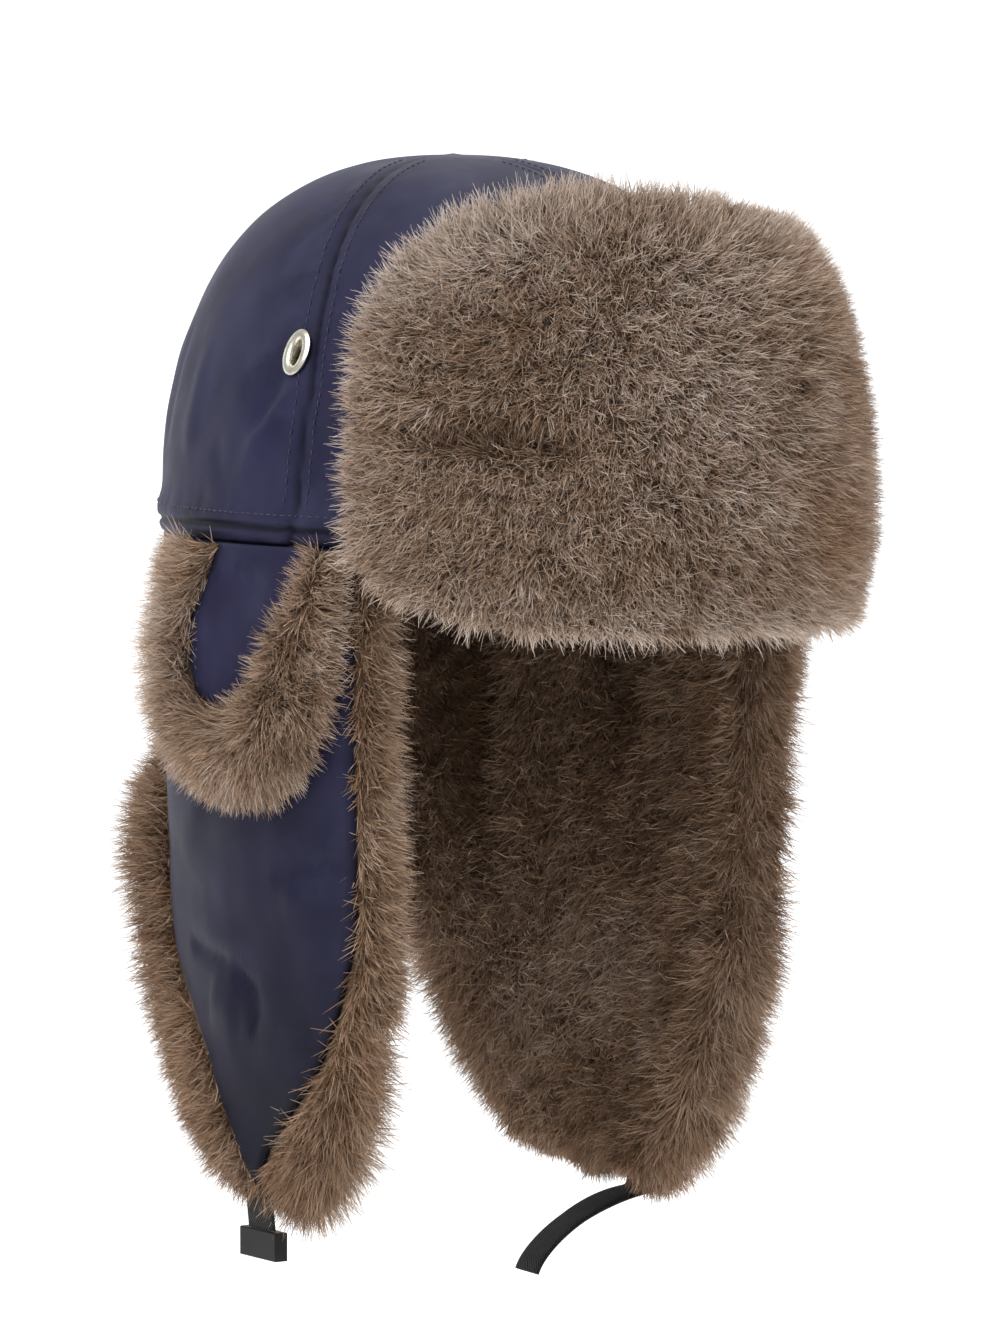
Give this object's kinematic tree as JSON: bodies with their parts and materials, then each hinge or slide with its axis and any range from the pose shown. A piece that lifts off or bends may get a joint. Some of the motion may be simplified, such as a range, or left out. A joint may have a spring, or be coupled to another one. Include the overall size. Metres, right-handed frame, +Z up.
{
  "type": "bomber hat",
  "caption": "Bomber hat with a nylon crown, fur-lined ear flaps and neck flap, a turned-up fur front, ear covers and an open chin strap.",
  "frame": {"origin": "middle of the head opening at brow height, where the hat sits on a head", "axes": "+Z up, the wearer looks along -Y, and the wearer's left is +X"},
  "size_m": [0.2311, 0.2568, 0.3556],
  "materials": {
    "nylon_navy": "matt woven nylon with a soft sheen",
    "fur_brown": "grizzled grey-brown fur",
    "metal_eyelet": "pale plated metal",
    "webbing_black": "woven webbing",
    "plastic_black": "moulded plastic"
  },
  "bodies": {
    "root": {"crown_shell": "nylon_navy", "flap_band_shell": "nylon_navy", "flap_band_fur": "fur_brown", "front_flap_backing": "nylon_navy", "front_flap_fur": "fur_brown", "ear_cover_right_shell": "nylon_navy", "ear_cover_right_fur": "fur_brown", "ear_cover_left_shell": "nylon_navy", "ear_cover_left_fur": "fur_brown", "eyelet_right": "metal_eyelet", "eyelet_left": "metal_eyelet", "strap_right": "webbing_black", "strap_left": "webbing_black", "buckle_right": "plastic_black"}
  },
  "joints": []
}
